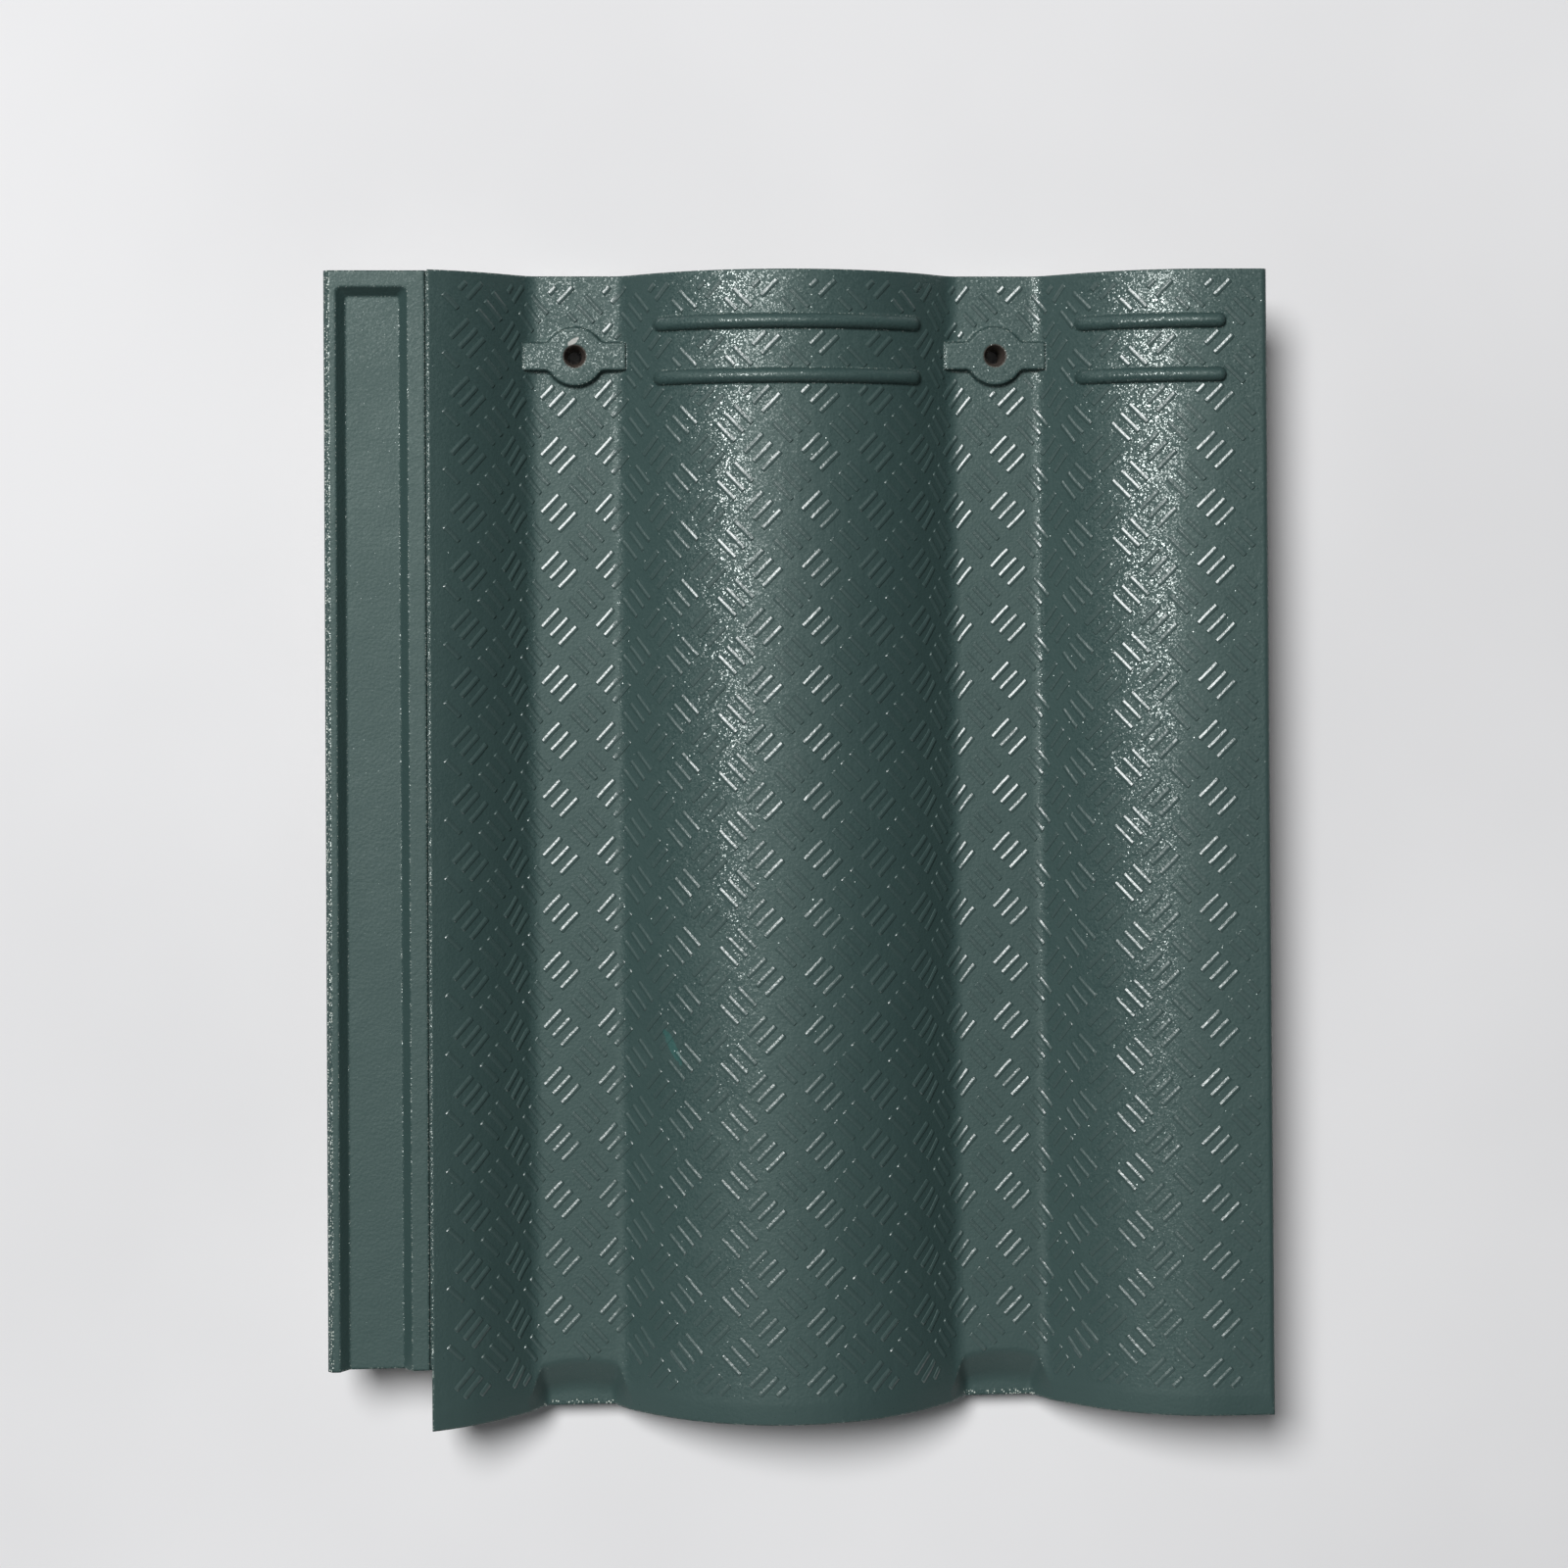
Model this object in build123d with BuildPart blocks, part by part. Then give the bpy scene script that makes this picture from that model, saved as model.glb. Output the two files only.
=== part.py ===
from build123d import *
import os
from math import cos, radians, sqrt, tan

# Interlocking double-roll roof tile, pressed from concrete in one piece.
# It lies on a level floor with its weather face up, on its nibs and its tail bar.
# X runs across the tile, from the underlap on the left to the overlap on the right.
# Y runs up the roof slope, from the tail to the head, and Z is up.
# The origin is on the floor, under the middle of the tile's overall rectangle.

# Overall sizes
length = 402.0
cover_width = 300.0
joint_gap = 6.0
underlap_width = 36.0
body_width = cover_width - joint_gap
width = body_width + underlap_width

# Depth to which the raised features are rooted in the wave
root_depth = 2.5

# Wave of the section: two pans, a middle roll and a roll that two neighbours share
thickness = 11.0
roll_pitch = cover_width / 2
middle_roll_x = -3.0
middle_roll_height = 27.0
shared_roll_height = 28.0
pan_width = 31.4
flank_angle = 41.0
foot_radius = 8.0

# Tail: the pans bend down to the bar that closes the joint on the tile below
tail_drop = 8.0
tail_bar_width = 13.0
bend_floor = 5.5
bend_side_angle = 36.0
bend_round = 3.0

# Nibs that hook over the batten, as deep as the tail bar so that the tile lies level
nib_depth = tail_drop
nib_width = 34.0
nib_length = 18.0
nib_from_head = 1.5
nib_back_slope = 3.0
nib_round = 2.0

# Underlap on the left, with the channel that drains the side joint
rim_height = 20.5
channel_depth = 4.0
channel_floor_thickness = 7.0
outer_rim_width = 4.2
inner_rim_width = 7.0
channel_wall_run = 3.1
head_rim_width = 5.6
channel_corner = 2.0
outer_rim_chamfer = 1.6
underlap_setback = 20.5
root_groove_width = 1.6

# Overlap on the right, which covers the next tile's underlap
lap_clearance = 1.0
lock_rib_width = 8.0

# Nail bosses, each on a bar across its pan
nail_radius = 2.5
nail_mouth_radius = 4.15
nail_mouth_angle = 32.0
nail_from_head = 28.7
boss_radius = 10.0
boss_height = 4.0
boss_draft = 12.0
boss_bar_width = 9.0
boss_corner = 1.8
boss_edge = 0.8

# Wind ribs across the rolls, above and below the nail line
wind_rib_width = 5.2
wind_rib_height = 3.0
wind_rib_spacing = 20.4
wind_rib_edge = 1.8
middle_rib_reach = 46.0
shared_rib_start = 47.5
shared_rib_end = 2.5

# Small rounds of the pressed edges
side_edge_round = 2.0

# Levels and places worked out from the sizes above
pan_z = nib_depth + thickness
rim_z = pan_z + rim_height
channel_z = rim_z - channel_depth
underlap_bottom_z = channel_z - channel_floor_thickness
left_x = -width / 2
body_x = left_x + underlap_width
right_x = width / 2
tail_y = -length / 2
head_y = length / 2
nail_y = head_y - nail_from_head
left_roll_x = middle_roll_x - roll_pitch
right_roll_x = middle_roll_x + roll_pitch
pan_centres = [middle_roll_x - roll_pitch / 2, middle_roll_x + roll_pitch / 2]
nib_y = head_y - nib_from_head - nib_length

flank = radians(flank_angle)
roll_half = (roll_pitch - pan_width) / 2
crest_half = roll_half - shared_roll_height / tan(flank)
shared_crest_radius = crest_half / tan(flank / 2)
apex_height = roll_half * tan(flank)
boss_spread = (boss_height + root_depth) * tan(radians(boss_draft))
boss_bar_length = pan_width + 2 * (boss_height + root_depth) / tan(flank)
middle_crest_radius = (apex_height - middle_roll_height) / (1 / cos(flank) - 1)


def wave(level):
    """The wave of the section, with its pans at the given height."""
    crest = level + shared_roll_height
    points = [
        (left_x, crest),
        (left_roll_x + crest_half, crest),
        (left_roll_x + roll_half, level),
        (middle_roll_x - roll_half, level),
        (middle_roll_x, level + apex_height),
        (middle_roll_x + roll_half, level),
        (right_roll_x - roll_half, level),
        (right_roll_x - crest_half, crest),
        (right_x, crest),
    ]
    radii = [
        shared_crest_radius,
        foot_radius,
        foot_radius,
        middle_crest_radius,
        foot_radius,
        foot_radius,
        shared_crest_radius,
    ]
    return FilletPolyline(*points, radius=radii)


def wave_band(top, bottom, start, end):
    """A sketch of the band between two waves, from one place across the tile to another."""
    with BuildSketch(Plane.XZ) as band:
        with BuildLine():
            upper = wave(top)
            lower = wave(bottom)
            Line(upper @ 0, lower @ 0)
            Line(upper @ 1, lower @ 1)
        make_face()
        with Locations(((start + end) / 2, pan_z)):
            Rectangle(end - start, length, mode=Mode.INTERSECT)
    return band.sketch


def shared_underside_x(z):
    """Where the underside of the left roll comes down to the given height."""
    centre_z = pan_z - thickness + shared_roll_height - shared_crest_radius
    return left_roll_x + sqrt(shared_crest_radius**2 - (z - centre_z) ** 2)


# The waved body, from head to tail
with BuildPart() as body:
    extrude(wave_band(pan_z, pan_z - thickness, body_x, right_x), amount=length / 2, both=True)

# The underlap, whose flat underside runs in under the left roll
with BuildPart() as underlap:
    with BuildSketch(Plane.XZ.offset(-head_y)):
        with BuildLine():
            Polyline(
                (left_x, underlap_bottom_z),
                (left_x, rim_z - outer_rim_chamfer),
                (left_x + outer_rim_chamfer, rim_z),
                (body_x + root_groove_width, rim_z),
                (shared_underside_x(underlap_bottom_z), underlap_bottom_z),
                close=True,
            )
        make_face()
    extrude(amount=length - underlap_setback)

# The drain channel: open at the tail, closed by a sloped wall at the head
channel_left = left_x + outer_rim_width
channel_right = body_x - inner_rim_width
channel_head = head_y - head_rim_width


def channel_outline(z, inset, corner):
    """The outline of the channel at a height, set in from its outline at the rim."""
    with BuildSketch(Plane.XY.offset(z)) as outline:
        with Locations((channel_left + inset, channel_head - inset)):
            Rectangle(channel_right - channel_left - 2 * inset, length, align=(Align.MIN, Align.MAX))
        fillet(outline.vertices().group_by(Axis.Y)[-1], corner)
    return outline.sketch


with BuildPart() as channel:
    loft(
        [
            channel_outline(rim_z, 0, channel_corner),
            channel_outline(channel_z, channel_wall_run, channel_corner / 2),
        ],
        ruled=True,
    )

# The clearance under the overlap for the next tile's underlap, around the lock rib
seat_z = rim_z + lap_clearance
rib_tip_z = channel_z + lap_clearance
rib_draft = channel_wall_run * (seat_z - rib_tip_z) / channel_depth
rib_x = (channel_left + channel_right) / 2 + cover_width
lap_start = left_x + cover_width - lap_clearance
with BuildPart() as lap_clearance_cut:
    with BuildSketch(Plane.XZ):
        with BuildLine():
            Polyline(
                (lap_start - channel_wall_run, pan_z),
                (lap_start, seat_z),
                (rib_x - lock_rib_width / 2 - rib_draft, seat_z),
                (rib_x - lock_rib_width / 2, rib_tip_z),
                (rib_x + lock_rib_width / 2, rib_tip_z),
                (rib_x + lock_rib_width / 2 + rib_draft, seat_z),
                (right_x + joint_gap, seat_z),
                (right_x + joint_gap, pan_z),
                close=True,
            )
        make_face()
    extrude(amount=length, both=True)

# The bar under the tail edge, which closes the joint on the tile below
with BuildPart() as tail_bar:
    tail_bar_end = lap_start - channel_wall_run
    extrude(
        wave_band(pan_z - thickness + root_depth, pan_z - thickness - tail_drop, body_x, tail_bar_end),
        amount=-tail_bar_width,
    )
    tail_bar.part.move(Location((0, tail_y, 0)))

# One cutter for the bend at the tail of a pan, where the water runs down to the tile below
with BuildPart() as tail_bend:
    with BuildSketch(Plane.XY.offset(pan_z - tail_drop)) as bend_outline:
        with Locations((0, tail_y + bend_floor)):
            Rectangle(pan_width - 2 * foot_radius * tan(flank / 2), length, align=(Align.CENTER, Align.MAX))
    extrude(amount=tail_drop + boss_height, taper=-bend_side_angle)
    fillet(tail_bend.edges().group_by(Axis.Z)[0].filter_by(Axis.X).sort_by(Axis.Y)[-1], bend_round)

# One nail boss on its bar, which runs into the rolls on both sides of the pan
with BuildPart() as boss:
    with BuildSketch(Plane.XY.offset(pan_z - root_depth)) as boss_outline:
        Circle(boss_radius + boss_spread)
        Rectangle(boss_bar_length, boss_bar_width + 2 * boss_spread)
        fillet(boss_outline.vertices().group_by(Axis.X)[1:-1], boss_corner)
    extrude(amount=boss_height + root_depth, taper=boss_draft)
    fillet(boss.faces().sort_by(Axis.Z)[-1].edges(), boss_edge)

# One nib, drawn in section: an upright face that bears on the batten and a sloped back
with BuildPart() as nib:
    with BuildSketch(Plane.YZ):
        with BuildLine():
            Polyline(
                (nib_y, 0),
                (nib_y, pan_z - thickness + root_depth),
                (nib_y + nib_length, pan_z - thickness + root_depth),
                (nib_y + nib_length, pan_z - thickness),
                (nib_y + nib_length - nib_back_slope, 0),
                close=True,
            )
        make_face()
    extrude(amount=nib_width / 2, both=True)
    fillet(nib.edges().filter_by(Axis.Z).sort_by(Axis.Y)[:2], nib_round)


def wind_rib(start, end, y):
    """A rounded rib that follows the rolls from one place across the tile to another."""
    with BuildPart() as rib:
        extrude(wave_band(pan_z + wind_rib_height, pan_z - root_depth, start, end), amount=wind_rib_width)
        fillet(rib.edges().filter_by(Axis.Z), wind_rib_edge)
    return rib.part.moved(Location((0, y + wind_rib_width / 2, 0)))


# The whole tile
with BuildPart() as roof_tile:
    add(body.part)
    add(underlap.part)
    add(channel.part, mode=Mode.SUBTRACT)
    add(tail_bar.part)
    add(lap_clearance_cut.part, mode=Mode.SUBTRACT)
    fillet(roof_tile.edges().filter_by(Axis.Y).sort_by(Axis.X)[-2:].sort_by(Axis.Z)[-1], side_edge_round)
    for pan_x in pan_centres:
        with Locations((pan_x, nail_y, 0)):
            add(boss.part)
        with Locations((pan_x, 0, 0)):
            add(nib.part)
        with Locations((pan_x, 0, 0)):
            add(tail_bend.part, mode=Mode.SUBTRACT)
        with Locations((pan_x, nail_y, pan_z + boss_height)):
            CounterSinkHole(nail_radius, nail_mouth_radius, counter_sink_angle=nail_mouth_angle)
    for y in [nail_y - wind_rib_spacing / 2, nail_y + wind_rib_spacing / 2]:
        add(wind_rib(middle_roll_x - middle_rib_reach, middle_roll_x + middle_rib_reach, y))
        add(wind_rib(right_roll_x - shared_rib_start, right_roll_x + shared_rib_end, y))

roof_tile.part.label = "roof_tile"
os.makedirs("parts", exist_ok=True)
export_step(roof_tile.part, "parts/roof_tile.step")
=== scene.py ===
import math
import random
from typing import NamedTuple

import bmesh
import bpy
import numpy as np
from mathutils import Matrix, Vector
from mathutils.bvhtree import BVHTree


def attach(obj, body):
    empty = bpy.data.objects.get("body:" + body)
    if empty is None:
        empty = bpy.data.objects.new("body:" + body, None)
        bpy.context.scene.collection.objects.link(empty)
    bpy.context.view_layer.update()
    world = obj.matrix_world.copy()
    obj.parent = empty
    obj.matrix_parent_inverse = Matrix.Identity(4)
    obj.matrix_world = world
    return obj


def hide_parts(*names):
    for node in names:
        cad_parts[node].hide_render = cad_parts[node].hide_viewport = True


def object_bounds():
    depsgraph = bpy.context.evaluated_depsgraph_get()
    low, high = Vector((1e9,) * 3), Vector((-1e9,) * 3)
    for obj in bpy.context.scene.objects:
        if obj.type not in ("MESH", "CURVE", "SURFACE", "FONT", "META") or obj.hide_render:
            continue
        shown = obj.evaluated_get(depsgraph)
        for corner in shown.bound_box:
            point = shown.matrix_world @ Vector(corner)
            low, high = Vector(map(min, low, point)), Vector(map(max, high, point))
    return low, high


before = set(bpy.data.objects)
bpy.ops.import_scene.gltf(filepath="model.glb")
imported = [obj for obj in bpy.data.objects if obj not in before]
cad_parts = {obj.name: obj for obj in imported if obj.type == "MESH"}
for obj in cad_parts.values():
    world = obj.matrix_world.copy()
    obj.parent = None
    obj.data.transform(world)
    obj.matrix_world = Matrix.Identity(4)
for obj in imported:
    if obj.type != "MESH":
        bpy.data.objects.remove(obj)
cad_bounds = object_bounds()
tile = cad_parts["roof_tile"]
random.seed(11)

# All lengths are in millimetres, and MM turns them into the metres of the frame.
MM = 0.001

# The box of the tile, from the frame
LEFT_X, TAIL_Y = (round(v / MM, 2) for v in list(cad_bounds[0])[:2])
RIGHT_X, HEAD_Y = (round(v / MM, 2) for v in list(cad_bounds[1])[:2])

# Other places on the tile
BODY_LEFT_X = -129.0
MIDDLE_ROLL_X = -3.0
NAIL_XS = (-78.0, 72.0)
NAIL_Y = 172.3
PAN_Z = 19.0
RIM_Z = 39.5
NIB_TOP_Z = 8.0

# Rows along the tile at which the wave is read: one near the tail where nothing stands on it, and one halfway
PLAIN_Y = -150.3
PROFILE_Y = 0.37

# Heights above everything, for rays and for cutters that reach up out of the tile
RAY_Z = 100.0
CUT_TOP_Z = 60.0

# The wave, sampled across the tile: how far past the body it goes, and how far inside the body's two sides
# the end heights are read
PROFILE_PAST = (10.0, 14.0)
PROFILE_INSETS = (0.5, 2.2)
PROFILE_STEP = 0.5
PROFILE_SMOOTH = 9
WAVE_PAST = 2.0
WAVE_INSETS = (0.3, 2.3)
WAVE_STEP = 1.0

# The woven relief: cells of three bars, turned by 45 degrees
CELL_STEP = 10.2
BAR_GAP = 4.5
BAR_LENGTH = 9.4
BAR_WIDTH = 1.9
BAR_HEIGHT = 0.5
BAR_ROOT = 0.35
BAR_MIN_LENGTH = 2.6
BAR_END = 0.35
BAR_TIP_WIDTH = 0.8
BAR_TIP_HEIGHT = 0.3
BAR_BOW = 0.12
BAR_RISE_RANGE = (0.8, 1.1)
RUN_STEPS = 15

# Section of a bar: across it as a share of its width, and out of the face as a share of its height.
# Below the face, the second number is a depth in millimetres.
BAR_SECTION = (
    (-0.58, -BAR_ROOT),
    (-0.46, 0.59),
    (-0.07, 0.97),
    (0.07, 0.97),
    (0.46, 0.59),
    (0.58, -BAR_ROOT),
)

# Where the relief starts, where it ends, and what it keeps clear of
PATTERN_LEFT_X = -123.6
PATTERN_RIGHT_X = 160.6
PATTERN_PHASE_Y = -4.2
PATTERN_PHASE_U = -9.9
PATTERN_TAIL_GAP = 1.5
PATTERN_HEAD_GAP = 3.5
CLEAR_BOSS_RADIUS = 12.5
CLEAR_BAR_HALF_LENGTH = 19.5
CLEAR_BAR_HALF_WIDTH = 6.5
CLEAR_BEND_HALF_WIDTH = 17.5
CLEAR_BEND_LENGTH = 18.0
CLEAR_RIB_HALF_WIDTH = 3.4

# How far the real relief lies from even steps along the wave: pairs of a place across the tile and a shift.
# The pairs were measured on the photograph at the feet, the flanks and the crests of the rolls.
PATTERN_SHIFTS = (
    (-121.0, 6.1),
    (-108.0, 5.7),
    (-101.0, 3.9),
    (-77.0, 2.8),
    (-60.0, 1.3),
    (-46.0, 0.5),
    (5.0, -0.2),
    (45.0, 0.6),
    (66.0, -4.1),
    (80.0, -5.1),
    (96.0, -5.3),
    (107.0, -7.6),
    (118.0, -8.0),
    (144.0, -9.2),
)

# Along the tile the real steps are a little closer together, measured from this row
PATTERN_FIXED_Y = -103.0
PATTERN_SHRINK_Y = 0.994

# The bends at the tail of the pans: a hollow that falls to a narrow floor
BEND_FALL = 8.0
BEND_CREST_Y = -181.6
BEND_RUN = 14.8
BEND_EASE_CREST = 0.22
BEND_EASE_FLOOR = 0.34
BEND_CREST_HALF = 13.8
BEND_FLOOR_HALF = 11.6
BEND_WALL_SLOPE = 1.43
BEND_ARC = 2.2
BEND_ARC_LIMIT = 1.2
BEND_SOFT = 1.6
BEND_CUT_HALF = 22.0
BEND_CUT_END_Y = -180.5
BEND_WALL_SPAN = (10.0, 20.5)
BEND_FLOOR_SPAN = 8.5
BEND_STEP = 0.75

# The plug that fills the plainer bend of the CAD mesh first
PLUG_SINK = 0.03
PLUG_DEPTH = 9.5
PLUG_END_Y = -186.3

# The fall of the smooth band at the tail, and the groove at the root of the underlap
BAND_LENGTH = 8.5
BAND_FALL = 1.0
BAND_POWER = 1.4
BAND_STEP = 1.5
GROOVE_WIDTH = 1.0
GROOVE_DEPTH = 0.9

# The wind ribs of the CAD mesh, and the half-round beads that take their place
CAD_RIB_YS = (162.1, 182.5)
CAD_RIB_SPANS = ((-50.5, 44.5), (98.0, 151.0))
CAD_RIB_CUT_HALF = 2.75
CAD_RIB_CUT_END = 0.4
RIB_YS = (163.9, 182.9)
RIB_SPANS = ((-50.5, 44.5), (99.4, 150.3))
RIB_HALF_WIDTH = 2.6
RIB_HEIGHT = 2.9
RIB_SINK = 0.3
RIB_ROOT = 1.2
RIB_END_STEPS = (0.0, 0.15, 0.4, 0.8, 1.3, 1.9, 2.6)
RIB_MIDDLE_INSET = 4.0
RIB_STEP = 1.5

# The bosses stand low over the pans
BOSS_HEIGHT = 3.0
BOSS_HALF_LENGTH = 18.0
BOSS_CUT_HALF_LENGTH = 21.5
BOSS_CUT_HALF_WIDTH = 12.0

# Small distances for the cuts, and the angle from which an edge is sharp
FACE_GAP = 0.03
CUT_LIFT = 0.02
MERGE_GAP = 0.002
CUT_PAST = 2.0
SHARP_ANGLE = 28.0

# Colours, as red, green, blue and alpha in linear light
PAINT = (0.034, 0.067, 0.064, 1)
PAINT_DARK = (0.028, 0.057, 0.056, 1)
PAINT_PALE = (0.075, 0.118, 0.112, 1)
# Pale specks that stand in for glints on the edges, the lip and the rim: painted highlight
PAINTED_GLINT_COLOUR = (0.62, 0.68, 0.62, 1)
CONCRETE = (0.33, 0.31, 0.28, 1)
CONCRETE_DARK = (0.22, 0.21, 0.19, 1)
SMEAR_TEAL = (0.028, 0.095, 0.088, 1)
PALE_SPOT_COLOUR = (0.42, 0.42, 0.40, 1)
# Dark brown and near black for the walls of the nail holes: painted shade
CONE_SHADE_BROWN = (0.10, 0.075, 0.06, 1)
CONE_SHADE_DARK = (0.03, 0.026, 0.026, 1)
SHEEN_TINT = (0.86, 1.0, 0.94, 1)
FLOOR_GREY = (0.74, 0.74, 0.75, 1)
FLOOR_PALE = (0.80, 0.80, 0.81, 1)
SKY = (0.93, 0.96, 1.0, 1)

# The smear of brighter paint and a small pale spot above the left nail hole: place, half width, half length
# and turn in degrees
SMEAR = ((-45.1, -70.8), 1.5, 7.2, 25.0)
PALE_SPOT = ((-78.6, 177.5), 1.0, 2.8, -52.0)

# The sand under the paint: cells per metre, and how smooth a bright facet is
FINE_CELLS = 2300.0
GRAIN_CELLS = 1400.0
FACET_ROUGHNESS = 0.26

# The camera and the lens, fitted to the outline, the rims, the ribs and the holes of the photograph
CAMERA_PLACE = (-0.07443, 0.090125, 1.10061)
YAW, PITCH, ROLL = -0.0651, 0.0111, -0.0064
SENSOR_WIDTH = 36.0
LENS = 69.75
SHIFT_Y = -0.1472

# Half the width of the floor
FLOOR_REACH = 2500.0


# The weather face as a height over the tile
surface = BVHTree.FromPolygons(
    [v.co.copy() for v in tile.data.vertices],
    [tuple(p.vertices) for p in tile.data.polygons],
)


def height(x, y):
    """Height of the weather face over a point of the plan."""
    hit = surface.ray_cast(Vector((x * MM, y * MM, RAY_Z * MM)), Vector((0, 0, -1)))[0]
    return hit.z / MM if hit else None


def heights_across(xs, y, insets):
    """Heights across the body, level past the places where its two sides are read."""
    low, high = BODY_LEFT_X + insets[0], RIGHT_X - insets[1]
    return [height(min(max(x, low), high), y) for x in xs]


def span(start, end, step):
    """Even steps from start to end, both of them included."""
    return [float(v) for v in np.linspace(start, end, int(round((end - start) / step)) + 1)]


# The smoothed wave under the relief, with its slope and the arc length along it
profile_x = np.arange(BODY_LEFT_X - PROFILE_PAST[0], RIGHT_X + PROFILE_PAST[1], PROFILE_STEP)
profile_z = np.array(heights_across(profile_x, PROFILE_Y, PROFILE_INSETS))
kernel = np.hanning(PROFILE_SMOOTH)
profile_z = np.pad(profile_z, PROFILE_SMOOTH // 2, mode="edge")
profile_z = np.convolve(profile_z, kernel / kernel.sum(), mode="valid")
profile_u = np.concatenate([[0.0], np.cumsum(np.hypot(np.diff(profile_x), np.diff(profile_z)))])
profile_u -= np.interp(MIDDLE_ROLL_X, profile_x, profile_u)
profile_slope = np.gradient(profile_z, profile_x)
pattern_x = profile_x + np.interp(profile_x, *zip(*PATTERN_SHIFTS))

# The wave as it is, where nothing stands on it
wave_x = span(BODY_LEFT_X - WAVE_PAST, RIGHT_X + WAVE_PAST, WAVE_STEP)
wave_top = heights_across(wave_x, PLAIN_Y, WAVE_INSETS)


def wave_z(x):
    """Height of the plain wave at a place across the tile."""
    return float(np.interp(x, wave_x, wave_top))


def mesh_object(name, verts, faces):
    """A mesh object in the scene, from points in millimetres."""
    mesh = bpy.data.meshes.new(name)
    mesh.from_pydata([(x * MM, y * MM, z * MM) for x, y, z in verts], [], faces)
    mesh.update()
    obj = bpy.data.objects.new(name, mesh)
    bpy.context.scene.collection.objects.link(obj)
    return obj


def column_mesh(name, xs, ys, low, high):
    """A closed solid over a grid of the plan, between two surfaces z = low(x, y) and z = high(x, y)."""
    verts = [(x, y, surface_z(x, y)) for surface_z in (low, high) for x in xs for y in ys]
    n, m = len(xs), len(ys)
    top = n * m
    faces = []
    for i in range(n - 1):
        for j in range(m - 1):
            a = i * m + j
            faces.append((a, a + 1, a + m + 1, a + m))
            faces.append((top + a, top + a + m, top + a + m + 1, top + a + 1))
    border = [i * m for i in range(n)] + [(n - 1) * m + j for j in range(1, m)]
    border += [i * m + m - 1 for i in range(n - 2, -1, -1)] + [j for j in range(m - 2, 0, -1)]
    for a, b in zip(border, border[1:] + border[:1]):
        faces.append((a, b, top + b, top + a))
    return mesh_object(name, verts, faces)


def cut(target, tool, operation):
    """Adds a solid to the target or takes it away, and deletes it."""
    modifier = target.modifiers.new("cut", "BOOLEAN")
    modifier.operation = operation
    modifier.solver = "EXACT"
    modifier.object = tool
    graph = bpy.context.evaluated_depsgraph_get()
    result = bpy.data.meshes.new_from_object(target.evaluated_get(graph))
    target.modifiers.clear()
    target.data = result
    bpy.data.objects.remove(tool)


def over(x, y):
    """The top of a cutter."""
    return CUT_TOP_Z


# The tile's skin: a copy of the CAD mesh with the pressed details cut into it, one step to a function


def merged_copy():
    """A copy of the CAD mesh with its points joined, so that it is one closed skin."""
    work = bmesh.new()
    work.from_mesh(tile.data)
    bmesh.ops.remove_doubles(work, verts=work.verts, dist=MERGE_GAP * MM)
    work.verts.index_update()
    verts = [tuple(v.co / MM) for v in work.verts]
    faces = [[v.index for v in f.verts] for f in work.faces]
    work.free()
    return mesh_object("tile_skin", verts, faces)


def fill_bend(skin, pan_x):
    """Fills the CAD mesh's bend with the plain pan."""
    xs = span(pan_x - BEND_CUT_HALF, pan_x + BEND_CUT_HALF, 1.0)
    plug_top = {x: height(x, PLAIN_Y) - PLUG_SINK for x in xs}
    plug = column_mesh(
        "plug",
        xs,
        [TAIL_Y + PLUG_SINK, PLUG_END_Y],
        lambda x, y: plug_top[x] - PLUG_DEPTH,
        lambda x, y: plug_top[x],
    )
    cut(skin, plug, "UNION")


def lower_band(skin):
    """Lets the smooth band fall towards the tail edge."""

    def band_z(x, y):
        into = max(0.0, (TAIL_Y + BAND_LENGTH - y) / BAND_LENGTH)
        return wave_z(x) + CUT_LIFT - BAND_FALL * into**BAND_POWER

    band_y = span(TAIL_Y - CUT_PAST, TAIL_Y + BAND_LENGTH + 1, BAND_STEP)
    cut(skin, column_mesh("band", wave_x, band_y, band_z, over), "DIFFERENCE")


def eased(t):
    """A ramp from 0 to 1 with rounded ends."""
    t = min(1.0, max(0.0, t))
    steep = 1.0 / (1.0 - (BEND_EASE_CREST + BEND_EASE_FLOOR) / 2)
    if t < BEND_EASE_CREST:
        return steep * t * t / (2 * BEND_EASE_CREST)
    if t > 1.0 - BEND_EASE_FLOOR:
        return 1.0 - steep * (1.0 - t) ** 2 / (2 * BEND_EASE_FLOOR)
    return steep * (t - BEND_EASE_CREST / 2)


def hollow_bend(skin, pan_x):
    """Cuts the bend: a slope between two walls, with a soft line where they meet."""

    def bend_z(x, y):
        across = abs(x - pan_x)
        crest_y = BEND_CREST_Y - BEND_ARC * min(BEND_ARC_LIMIT, across / BEND_CREST_HALF) ** 2
        fall = eased((crest_y - y) / BEND_RUN)
        slope_z = PAN_Z - BEND_FALL * fall
        half = BEND_CREST_HALF + (BEND_FLOOR_HALF - BEND_CREST_HALF) * fall
        wall_z = slope_z + BEND_WALL_SLOPE * (across - half)
        apart = max(0.0, 1.0 - abs(slope_z - wall_z) / BEND_SOFT)
        return max(slope_z, wall_z) + BEND_SOFT / 4 * apart**2 + CUT_LIFT

    wall = span(*BEND_WALL_SPAN, BEND_STEP) + [BEND_CUT_HALF]
    offsets = [-v for v in reversed(wall)] + span(-BEND_FLOOR_SPAN, BEND_FLOOR_SPAN, 1.0) + wall
    bend_y = span(TAIL_Y - CUT_PAST, BEND_CUT_END_Y, BEND_STEP)
    cut(skin, column_mesh("bend", [pan_x + v for v in offsets], bend_y, bend_z, over), "DIFFERENCE")


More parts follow.
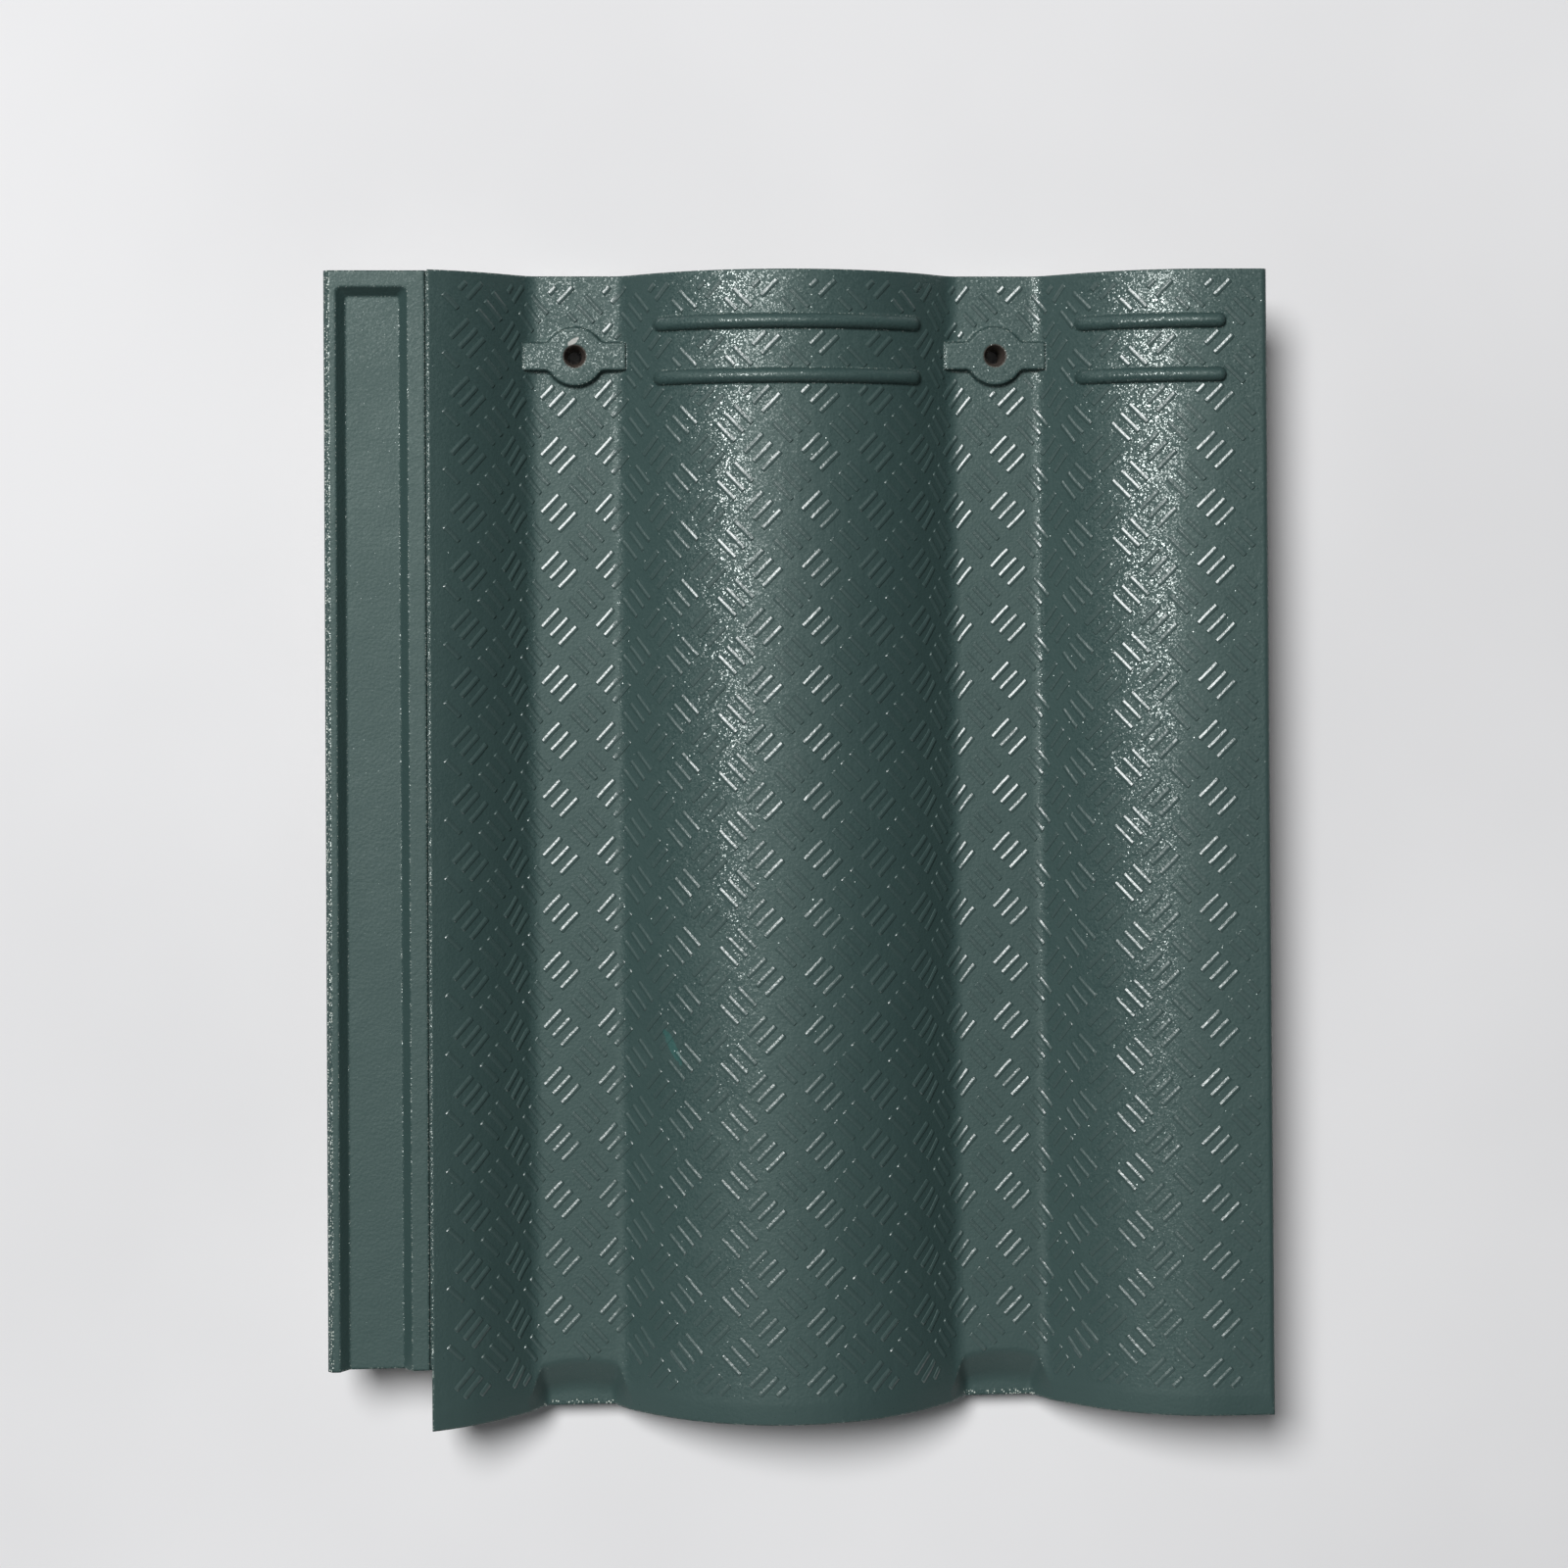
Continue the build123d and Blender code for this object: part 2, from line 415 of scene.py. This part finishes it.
def clear_cad_rib(skin, rib_y, start, end):
    """Takes a rib of the CAD mesh off the wave."""
    xs = [start - CAD_RIB_CUT_END] + span(start, end, 1.0) + [end + CAD_RIB_CUT_END]
    ys = [rib_y - CAD_RIB_CUT_HALF, rib_y + CAD_RIB_CUT_HALF]
    cut(skin, column_mesh("rib", xs, ys, lambda x, y: wave_z(x) + FACE_GAP, over), "DIFFERENCE")


def add_bead(skin, rib_y, start, end):
    """Lays a half-round rib with round ends on the wave."""

    def bead_z(x, y):
        off = (y - rib_y) / RIB_HALF_WIDTH
        near_end = min(1.0, max(0.0, min(x - start, end - x) / RIB_HALF_WIDTH))
        round_part = math.sqrt(max(0.0, 1.0 - off**2 - (1.0 - near_end) ** 2))
        return wave_z(x) - RIB_SINK + (RIB_HEIGHT + RIB_SINK) * round_part

    middle = span(start + RIB_MIDDLE_INSET, end - RIB_MIDDLE_INSET, RIB_STEP)
    xs = [start + e for e in RIB_END_STEPS] + middle + [end - e for e in reversed(RIB_END_STEPS)]
    ys = [rib_y + RIB_HALF_WIDTH * math.sin(math.radians(angle)) for angle in range(-90, 91, 10)]
    cut(skin, column_mesh("bead", xs, ys, lambda x, y: wave_z(x) - RIB_ROOT, bead_z), "UNION")


def lower_boss(skin, pan_x):
    """Lowers a boss to its height over the pan, and ends its bar short of the rolls."""

    def boss_z(x, y):
        top = PAN_Z + BOSS_HEIGHT if abs(x - pan_x) < BOSS_HALF_LENGTH else 0.0
        return max(wave_z(x) + FACE_GAP, top)

    ends = [side * (BOSS_HALF_LENGTH + step) for side in (-1, 1) for step in (-0.1, 0.1)]
    offsets = span(-BOSS_CUT_HALF_LENGTH, BOSS_CUT_HALF_LENGTH, 1.0) + ends
    xs = sorted(pan_x + v for v in offsets)
    ys = [NAIL_Y - BOSS_CUT_HALF_WIDTH, NAIL_Y + BOSS_CUT_HALF_WIDTH]
    cut(skin, column_mesh("boss", xs, ys, boss_z, over), "DIFFERENCE")


def cut_groove(skin):
    """Cuts the groove along the root of the underlap."""
    groove = column_mesh(
        "groove",
        [BODY_LEFT_X - GROOVE_WIDTH, BODY_LEFT_X + 0.05],
        [TAIL_Y - 1, HEAD_Y + 1],
        lambda x, y: RIM_Z - GROOVE_DEPTH,
        lambda x, y: RIM_Z + 0.1,
    )
    cut(skin, groove, "DIFFERENCE")


def on_rib(x, y, z):
    """Whether a place on the skin is on one of the beads."""
    on_line = any(abs(y - rib_y) < RIB_HALF_WIDTH + 0.05 for rib_y in RIB_YS)
    in_reach = any(start < x < end for start, end in RIB_SPANS)
    return on_line and in_reach and z > wave_z(x) + 0.1


def pressed_skin():
    """The whole skin, with the beads in its second material."""
    skin = merged_copy()
    for pan_x in NAIL_XS:
        fill_bend(skin, pan_x)
    lower_band(skin)
    for pan_x in NAIL_XS:
        hollow_bend(skin, pan_x)
    for rib_y in CAD_RIB_YS:
        for start, end in CAD_RIB_SPANS:
            clear_cad_rib(skin, rib_y, start, end)
    for rib_y in RIB_YS:
        for start, end in RIB_SPANS:
            add_bead(skin, rib_y, start, end)
    for pan_x in NAIL_XS:
        lower_boss(skin, pan_x)
    cut_groove(skin)
    skin.data.shade_smooth()
    skin.data.set_sharp_from_angle(angle=math.radians(SHARP_ANGLE))
    for polygon in skin.data.polygons:
        polygon.material_index = 1 if on_rib(*(polygon.center / MM)) else 0
    weighted = skin.modifiers.new("normals", "WEIGHTED_NORMAL")
    weighted.keep_sharp = True
    return skin


# The woven relief: flat-sided bars laid on the wave


def on_wave(u, y, lift):
    """The point at arc length u across the wave and y along it, lifted off the face."""
    x = float(np.interp(u, profile_u, pattern_x))
    z = float(np.interp(x, profile_x, profile_z))
    slope = float(np.interp(x, profile_x, profile_slope))
    upright = 1.0 / math.hypot(1.0, slope)
    return (x - slope * upright * lift, y, z + upright * lift)


def patterned(u, y):
    """Whether the relief runs over this place."""
    x = float(np.interp(u, profile_u, pattern_x))
    if not PATTERN_LEFT_X < x < PATTERN_RIGHT_X:
        return False
    if not TAIL_Y + BAND_LENGTH + PATTERN_TAIL_GAP < y < HEAD_Y - PATTERN_HEAD_GAP:
        return False
    for hole_x in NAIL_XS:
        dx, dy = x - hole_x, y - NAIL_Y
        if math.hypot(dx, dy) < CLEAR_BOSS_RADIUS:
            return False
        if abs(dx) < CLEAR_BAR_HALF_LENGTH and abs(dy) < CLEAR_BAR_HALF_WIDTH:
            return False
        if abs(dx) < CLEAR_BEND_HALF_WIDTH and y < TAIL_Y + CLEAR_BEND_LENGTH:
            return False
    near_rib = any(abs(y - rib_y) < CLEAR_RIB_HALF_WIDTH for rib_y in RIB_YS)
    return not (near_rib and any(start < x < end for start, end in RIB_SPANS))


def between(start, end, t):
    """The place at a share of the way from start to end, both (u, y)."""
    return start[0] + (end[0] - start[0]) * t, start[1] + (end[1] - start[1]) * t


def allowed_run(start, end):
    """The longest stretch of a bar that lies on patterned ground, or None if that is too short."""
    best, run = (0, -1), None
    for i in range(RUN_STEPS + 1):
        allowed = patterned(*between(start, end, i / RUN_STEPS))
        if allowed and run is None:
            run = i
        if allowed and i - run > best[1] - best[0]:
            best = (run, i)
        if not allowed:
            run = None
    first, last = best[0] / RUN_STEPS, best[1] / RUN_STEPS
    if (last - first) * BAR_LENGTH < BAR_MIN_LENGTH:
        return None
    return between(start, end, first), between(start, end, last)


def add_bar(verts, faces, start, end):
    """One bar laid on the wave from start to end, both (u, y)."""
    base = len(verts)
    n = len(BAR_SECTION)
    size = math.hypot(end[0] - start[0], end[1] - start[1])
    dx, dy = (end[0] - start[0]) / size, (end[1] - start[1]) / size
    bow_width = random.uniform(-BAR_BOW, BAR_BOW)
    rise = BAR_HEIGHT * random.uniform(*BAR_RISE_RANGE)
    stations = (0.0, BAR_END, size * 0.25, size * 0.5, size * 0.75, size - BAR_END, size)
    for s in stations:
        inner = BAR_END <= s <= size - BAR_END
        wide = BAR_WIDTH * (1.0 if inner else BAR_TIP_WIDTH)
        high = rise * (1.0 if inner else BAR_TIP_HEIGHT)
        bow = bow_width * math.sin(math.pi * s / size)
        for across, out in BAR_SECTION:
            off = across * wide + bow
            lift = out * high if out > 0 else out
            verts.append(on_wave(start[0] + dx * s - dy * off, start[1] + dy * s + dx * off, lift))
    for i in range(len(stations) - 1):
        for k in range(n):
            a = base + i * n + k
            b = base + i * n + (k + 1) % n
            faces.append((a, a + n, b + n, b))
    last_ring = base + (len(stations) - 1) * n
    faces.append(tuple(base + k for k in range(n)))
    faces.append(tuple(last_ring + k for k in range(n))[::-1])


def relief():
    """All the bars in one mesh: rows of cells, whose bars lean to one side and to the other in turn."""
    verts, faces = [], []
    u_low, u_high = float(profile_u[0]), float(profile_u[-1])
    rows = int(math.ceil((HEAD_Y - TAIL_Y) / CELL_STEP / 2)) + 1
    columns = int(math.ceil((u_high - u_low) / CELL_STEP / 2)) + 2
    root = math.sqrt(0.5)
    half = BAR_LENGTH / 2 * root
    for j in range(-rows, rows + 1):
        lean = 1 if j % 2 == 0 else -1
        y = PATTERN_PHASE_Y + CELL_STEP * j
        y = PATTERN_FIXED_Y + (y - PATTERN_FIXED_Y) * PATTERN_SHRINK_Y
        for i in range(-columns, columns + 1):
            u = PATTERN_PHASE_U + 2 * CELL_STEP * i + (CELL_STEP if j % 2 else 0.0)
            if not u_low < u < u_high:
                continue
            for k in (-1, 0, 1):
                bar_u, bar_y = u - k * BAR_GAP * root * lean, y + k * BAR_GAP * root
                run = allowed_run((bar_u - half, bar_y - half * lean), (bar_u + half, bar_y + half * lean))
                if run:
                    add_bar(verts, faces, *run)
    return mesh_object("relief_bars", verts, faces)


# Materials


class Nodes:
    """Short ways to add and join the nodes of one material."""

    def __init__(self, name):
        self.material = bpy.data.materials.new(name)
        self.material.use_nodes = True
        self.tree = self.material.node_tree
        self.tree.nodes.clear()

    def add(self, kind, **values):
        node = self.tree.nodes.new(kind)
        for key, value in values.items():
            setattr(node, key, value)
        return node

    def join(self, source, target):
        self.tree.links.new(source, target)

    def put(self, value, socket):
        """Joins an output to the socket, or sets a constant on it."""
        if hasattr(value, "is_output"):
            self.join(value, socket)
        else:
            socket.default_value = value

    def math(self, operation, a, b=0.0, clamp=False):
        node = self.add("ShaderNodeMath", operation=operation, use_clamp=clamp)
        self.put(a, node.inputs[0])
        self.put(b, node.inputs[1])
        return node.outputs[0]

    def most(self, *values):
        """The highest of several values."""
        result = values[0]
        for value in values[1:]:
            result = self.math("MAXIMUM", result, value)
        return result

    def product(self, *values):
        result = values[0]
        for value in values[1:]:
            result = self.math("MULTIPLY", result, value)
        return result

    def ramp(self, value, low, high, out_low=0.0, out_high=1.0):
        """A smooth step from one value to another."""
        node = self.add("ShaderNodeMapRange", clamp=True)
        node.interpolation_type = "SMOOTHSTEP"
        self.put(value, node.inputs["Value"])
        for key, number in (("From Min", low), ("From Max", high), ("To Min", out_low), ("To Max", out_high)):
            node.inputs[key].default_value = number
        return node.outputs["Result"]

    def noise(self, vector, scale, detail=3.0, roughness=0.5):
        node = self.add("ShaderNodeTexNoise")
        self.put(vector, node.inputs["Vector"])
        node.inputs["Scale"].default_value = scale
        node.inputs["Detail"].default_value = detail
        node.inputs["Roughness"].default_value = roughness
        return node.outputs["Fac"]

    def cells(self, vector, scale):
        """A random colour for each cell, and the distance from the middle of the cell."""
        node = self.add("ShaderNodeTexVoronoi", feature="F1")
        self.put(vector, node.inputs["Vector"])
        node.inputs["Scale"].default_value = scale
        return node.outputs["Color"], node.outputs["Distance"]

    def parts(self, vector):
        node = self.add("ShaderNodeSeparateXYZ")
        self.put(vector, node.inputs[0])
        return node.outputs

    def vector(self, operation, a, b=(0.0, 0.0, 0.0)):
        node = self.add("ShaderNodeVectorMath", operation=operation)
        self.put(a, node.inputs[0])
        self.put(b, node.inputs[1])
        return node.outputs["Vector"]

    def measure(self, operation, a, b=(0.0, 0.0, 0.0)):
        """A number made from two vectors, such as their distance."""
        node = self.add("ShaderNodeVectorMath", operation=operation)
        self.put(a, node.inputs[0])
        self.put(b, node.inputs[1])
        return node.outputs["Value"]

    def tilt(self, colour, amount):
        """A vector that leans a normal, from the random colour of a cell."""
        node = self.add("ShaderNodeVectorMath", operation="SCALE")
        self.put(self.vector("SUBTRACT", colour, (0.5, 0.5, 0.5)), node.inputs[0])
        self.put(amount, node.inputs["Scale"])
        return node.outputs["Vector"]

    def mix(self, factor, a, b):
        """A colour between two others."""
        node = self.add("ShaderNodeMix", data_type="RGBA")
        self.put(factor, node.inputs[0])
        self.put(a, node.inputs[6])
        self.put(b, node.inputs[7])
        return node.outputs[2]

    def spot(self, place, centre, half_width, half_length, turn):
        """An oval on the plan with a wavy soft edge: 1 inside and 0 outside."""
        node = self.add("ShaderNodeMapping", vector_type="TEXTURE")
        self.put(place, node.inputs["Vector"])
        node.inputs["Location"].default_value = (centre[0] * MM, centre[1] * MM, 0)
        node.inputs["Rotation"].default_value = (0, 0, math.radians(turn))
        node.inputs["Scale"].default_value = (half_width * MM, half_length * MM, 1)
        size = self.measure("LENGTH", self.vector("MULTIPLY", node.outputs["Vector"], (1, 1, 0)))
        wavy = self.math("ADD", size, self.product(self.noise(place, 600.0, 2.0), 0.9))
        return self.ramp(wavy, 1.2, 1.5, 1.0, 0.0)

    def surface_from(self, shader):
        """Joins the shader to the surface."""
        out = self.add("ShaderNodeOutputMaterial")
        self.join(shader.outputs[0], out.inputs["Surface"])
        return self.material


class Finish(NamedTuple):
    """How the paint looks on one part of the tile."""

    sand: float
    roughness: float
    specular: float
    worn: float
    coat: float = 0.0
    coat_roughness: float = 0.3
    coat_ior: float = 1.5
    bare_below: bool = False


# The sandy face has loose bright grains and a bare underside, and the bars have a coat that glints.
SANDY = Finish(sand=1.0, roughness=0.59, specular=0.345, worn=1.4, coat_roughness=0.27, bare_below=True)
SMOOTH = Finish(sand=0.05, roughness=0.26, specular=0.40, worn=0.8)
GLINTING = Finish(sand=0.05, roughness=0.57, specular=0.36, worn=0.0, coat=1.0, coat_ior=1.62)


class Ground(NamedTuple):
    """What the paint knows of a place: where it is, which way it faces and how sandy it is."""

    place: object
    normal: object
    base_normal: object
    edge: object
    rim: object
    lip: object
    sandy: object


def read_ground(m, finish):
    """Finds the edges, and how sandy each place is: most on edges, rolls and head, least at the tail."""
    place = m.add("ShaderNodeTexCoord").outputs["Object"]
    x, y, z = m.parts(place)
    normal = m.add("ShaderNodeNewGeometry").outputs["Normal"]

    # Worn round edges, and how near a place is to one
    base_normal, edge = normal, 0.0
    if finish.worn:
        rounded = m.add("ShaderNodeBevel", samples=8)
        rounded.inputs["Radius"].default_value = finish.worn * MM
        base_normal = rounded.outputs["Normal"]
        edge = m.ramp(m.measure("DOT_PRODUCT", base_normal, normal), 0.90, 0.997, 1.0, 0.0)
    outer = m.ramp(x, (LEFT_X + 1.4) * MM, (LEFT_X + 2.6) * MM, 1.0, 0.0)
    rim = m.product(outer, m.ramp(z, 36.0 * MM, 38.4 * MM, 0.12, 1.0))
    tail_edge = m.ramp(y, (TAIL_Y + 1.2) * MM, (TAIL_Y + 2.4) * MM, 1.0, 0.0)
    lip = m.product(tail_edge, m.ramp(z, 12.5 * MM, 13.5 * MM, 1.0, 0.0))
    edge = m.most(edge, rim)

    # The face without its tail band and with little sand on the underlap, in patches that fade to the tail
    band_end = TAIL_Y + BAND_LENGTH
    face = m.ramp(y, (band_end - 0.5) * MM, (band_end + 1.5) * MM)
    body = m.ramp(x, (BODY_LEFT_X - 0.5) * MM, (BODY_LEFT_X + 0.5) * MM, 0.18, 1.0)
    patches = m.ramp(m.noise(place, 60.0, 4.0, 0.65), 0.36, 0.56, 0.5, 1.0)
    fading = m.ramp(y, TAIL_Y * MM, 60.0 * MM, 0.5, 1.0)

    # The rolls, most where they face left towards the key lamp, then the head and the foot of each flank
    lamp_side_rolls = m.ramp(z, 24.0 * MM, 36.0 * MM, 0.14, 1.0)
    lamp_side_rolls = m.product(lamp_side_rolls, m.ramp(m.parts(normal)[0], -0.28, -0.12, 1.0, 0.22))
    head = m.ramp(y, 100.0 * MM, 185.0 * MM, 0.0, 0.45)
    foot = m.product(m.ramp(z, 19.1 * MM, 19.6 * MM), m.ramp(z, 20.6 * MM, 22.5 * MM, 0.8, 0.0))
    sandy = m.product(face, body, patches, fading, m.most(lamp_side_rolls, head, foot))
    sandy = m.product(m.most(sandy, edge, lip), finish.sand)
    return Ground(place, normal, base_normal, edge, rim, lip, sandy)


def bare_share(m, ground):
    """Where the concrete is bare: 1 on the underside, the nibs and the back of the tail bar, 0 elsewhere."""
    _, y, z = m.parts(ground.place)
    _, along, up = m.parts(ground.normal)
    low = m.ramp(z, (NIB_TOP_Z - 0.2) * MM, (NIB_TOP_Z + 0.2) * MM, 1.0, 0.0)
    nibs = m.product(m.ramp(y, 150.0 * MM, 155.0 * MM), low)
    behind = m.product(m.ramp(y, -160.0 * MM, -150.0 * MM, 1.0, 0.0), m.ramp(along, 0.4, 0.7))
    return m.most(m.ramp(up, -0.35, -0.1, 1.0, 0.0), nibs, behind)


def paint_colour(m, ground, grain_colour, grain_gap, finish, bare):
    """Satin paint with darker and paler clouds (the paler partly painted highlight), painted highlight specks
    on the edges, painted shade in the nail holes, a smear and a pale spot.
    """
    place = ground.place
    clouds = m.ramp(m.noise(place, 14.0, 4.0, 0.6), 0.35, 0.7)
    colour = m.mix(m.product(clouds, 0.35), PAINT, PAINT_DARK)
    # Paler grains where the sand shows most; as the sand is laid most where the rolls face the key lamp, this
    # paler colour is partly painted highlight
    pale = m.ramp(m.noise(place, 700.0, 2.0, 0.6), 0.55, 0.75, 0.0, 0.4)
    colour = m.mix(m.product(pale, ground.sandy), colour, PAINT_PALE)

    # Painted highlights: pale specks on the edges, the lip and the rim stand in for glints of light
    painted_glint = m.math("GREATER_THAN", m.parts(grain_colour)[0], 0.52)
    painted_glint = m.product(painted_glint, m.ramp(grain_gap, 0.30, 0.42, 1.0, 0.0))
    painted_glint = m.product(painted_glint, m.most(m.product(ground.edge, 0.45), ground.lip, ground.rim))
    colour = m.mix(m.math("MULTIPLY", painted_glint, finish.sand, True), colour, PAINTED_GLINT_COLOUR)

    colour = m.mix(m.spot(place, *SMEAR), colour, SMEAR_TEAL)
    # A small pale spot above the left nail hole
    colour = m.mix(m.spot(place, *PALE_SPOT), colour, PALE_SPOT_COLOUR)
    if finish.bare_below:
        concrete = m.mix(m.ramp(m.noise(place, 300.0, 4.0, 0.7), 0.3, 0.7), CONCRETE, CONCRETE_DARK)
        colour = m.mix(bare, colour, concrete)
    # Painted shade: the walls of the nail holes are painted dark brown and near black
    for hole_x in NAIL_XS:
        flat_place = m.vector("MULTIPLY", place, (1, 1, 0))
        gap = m.measure("DISTANCE", flat_place, (hole_x * MM, NAIL_Y * MM, 0))
        inside = m.ramp(gap, 3.9 * MM, 4.5 * MM, 1.0, 0.0)
        colour = m.mix(inside, colour, m.mix(m.noise(place, 500.0, 3.0), CONE_SHADE_DARK, CONE_SHADE_BROWN))
    return colour


def painted_concrete(name, finish):
    """Satin paint over pressed concrete."""
    m = Nodes(name)
    ground = read_ground(m, finish)
    place, sandy = ground.place, ground.sandy

    # Facets of the sand under the paint: a few loose grains tilt a lot and flash, the rest tilt only a little
    fine_colour, _ = m.cells(place, FINE_CELLS)
    grain_colour, grain_gap = m.cells(place, GRAIN_CELLS)
    dot = 0.0
    if finish.sand == 1.0:
        chance = m.math("ADD", m.product(ground.edge, 0.3), m.product(sandy, 0.16))
        chosen = m.math("GREATER_THAN", m.math("ADD", m.parts(grain_colour)[2], chance), 0.97)
        dot = m.product(chosen, m.ramp(grain_gap, 0.22, 0.38, 1.0, 0.0))
    fine_tilt = m.math("ADD", m.product(sandy, 0.26), 0.03)
    fine_tilt = m.math("ADD", fine_tilt, m.product(ground.edge, finish.sand * 0.35))
    coarse_tilt = m.math("ADD", m.product(dot, 0.7), m.product(sandy, 0.12))
    tilted = m.vector("ADD", ground.base_normal, m.tilt(fine_colour, fine_tilt))
    tilted = m.vector("ADD", tilted, m.tilt(grain_colour, coarse_tilt))
    tilted = m.vector("NORMALIZE", tilted)

    # The unevenness of the paint
    bump = m.add("ShaderNodeBump")
    bump.inputs["Strength"].default_value = 0.3
    bump.inputs["Distance"].default_value = 0.0004
    relief_height = m.math("ADD", m.noise(place, 900.0, 2.0), m.product(m.noise(place, 120.0, 3.0), 1.6))
    m.join(relief_height, bump.inputs["Height"])
    m.join(tilted, bump.inputs["Normal"])

    # Some facets flash: they are smoother than the paint between them, under a clear coat
    flash = m.math("GREATER_THAN", m.parts(fine_colour)[1], 0.69)
    facets = m.most(m.product(flash, m.math("MULTIPLY", sandy, 1.3, True)), dot)
    rough = m.ramp(m.noise(place, 45.0, 3.0), 0.35, 0.65, finish.roughness - 0.02, finish.roughness + 0.03)
    rough = m.math("SUBTRACT", rough, m.product(facets, finish.roughness - FACET_ROUGHNESS))
    bare = 0.0
    if finish.bare_below:
        bare = bare_share(m, ground)
        rough = m.most(rough, m.product(bare, 0.85))

    shader = m.add("ShaderNodeBsdfPrincipled")
    m.put(paint_colour(m, ground, grain_colour, grain_gap, finish, bare), shader.inputs["Base Color"])
    m.put(rough, shader.inputs["Roughness"])
    m.put(bump.outputs["Normal"], shader.inputs["Normal"])
    shader.inputs["IOR"].default_value = 1.8
    shader.inputs["Specular IOR Level"].default_value = finish.specular
    shader.inputs["Specular Tint"].default_value = SHEEN_TINT
    m.put(m.most(facets, finish.coat), shader.inputs["Coat Weight"])
    m.put(bump.outputs["Normal"], shader.inputs["Coat Normal"])
    shader.inputs["Coat Roughness"].default_value = finish.coat_roughness
    shader.inputs["Coat IOR"].default_value = finish.coat_ior
    return m.surface_from(shader)


def floor_material():
    """A plain pale floor with faint clouds."""
    m = Nodes("pale_floor")
    place = m.add("ShaderNodeTexCoord").outputs["Object"]
    shader = m.add("ShaderNodeBsdfPrincipled")
    cloud = m.ramp(m.noise(place, 3.0, 4.0), 0.3, 0.7)
    m.put(m.mix(cloud, FLOOR_GREY, FLOOR_PALE), shader.inputs["Base Color"])
    shader.inputs["Roughness"].default_value = 0.8
    return m.surface_from(shader)


# The pieces of the tile
skin = pressed_skin()
bars = relief()
skin.data.materials.clear()
skin.data.materials.append(painted_concrete("painted_concrete_sandy", SANDY))
skin.data.materials.append(painted_concrete("painted_concrete_smooth", SMOOTH))
bars.data.materials.append(painted_concrete("painted_concrete_relief", GLINTING))
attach(skin, "root")
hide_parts("roof_tile")
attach(bars, "root")

# The floor
floor_corners = [(sx * FLOOR_REACH, sy * FLOOR_REACH, 0) for sx, sy in ((-1, -1), (1, -1), (1, 1), (-1, 1))]
floor = mesh_object("floor", floor_corners, [(0, 1, 2, 3)])
floor.data.materials.append(floor_material())

# A faint even light from all round, and two lamps
world = bpy.data.worlds.new("studio")
world.use_nodes = True
world.node_tree.nodes["Background"].inputs["Color"].default_value = SKY
world.node_tree.nodes["Background"].inputs["Strength"].default_value = 0.05
bpy.context.scene.world = world


def area_light(name, towards, distance, size, power):
    """A round lamp in metres and watts that looks at the middle of the tile from the given direction."""
    data = bpy.data.lights.new(name, "AREA")
    data.shape = "DISK"
    data.size = size
    data.energy = power
    lamp = bpy.data.objects.new(name, data)
    direction = Vector(towards).normalized()
    lamp.location = direction * distance
    lamp.rotation_euler = direction.to_track_quat("Z", "Y").to_euler()
    bpy.context.scene.collection.objects.link(lamp)


area_light("key", (-0.33, 0.42, 1.0), 4.0, 1.6, 168.0)
area_light("fill", (0.0, -1.0, 0.35), 0.65, 0.4, 0.3)


def turned(first, second, angle):
    """Two axes of a frame, turned in their own plane."""
    cosine, sine = math.cos(angle), math.sin(angle)
    return cosine * first + sine * second, cosine * second - sine * first


# The camera at the photograph's viewing angle
right = Vector((math.cos(YAW), 0, -math.sin(YAW)))
back = Vector((math.sin(YAW), 0, math.cos(YAW)))
above = Vector((0, 1, 0))
above, back = turned(above, back, PITCH)
right, above = turned(right, above, ROLL)
lens = bpy.data.cameras.new("camera")
lens.sensor_width = SENSOR_WIDTH
lens.lens = LENS
lens.shift_y = SHIFT_Y
lens.clip_start = 0.01
camera = bpy.data.objects.new("camera", lens)
camera.matrix_world = Matrix.Translation(CAMERA_PLACE) @ Matrix((right, above, back)).transposed().to_4x4()
bpy.context.scene.collection.objects.link(camera)
bpy.context.scene.camera = camera
bpy.context.scene.view_settings.view_transform = "Standard"

bpy.context.view_layer.update()
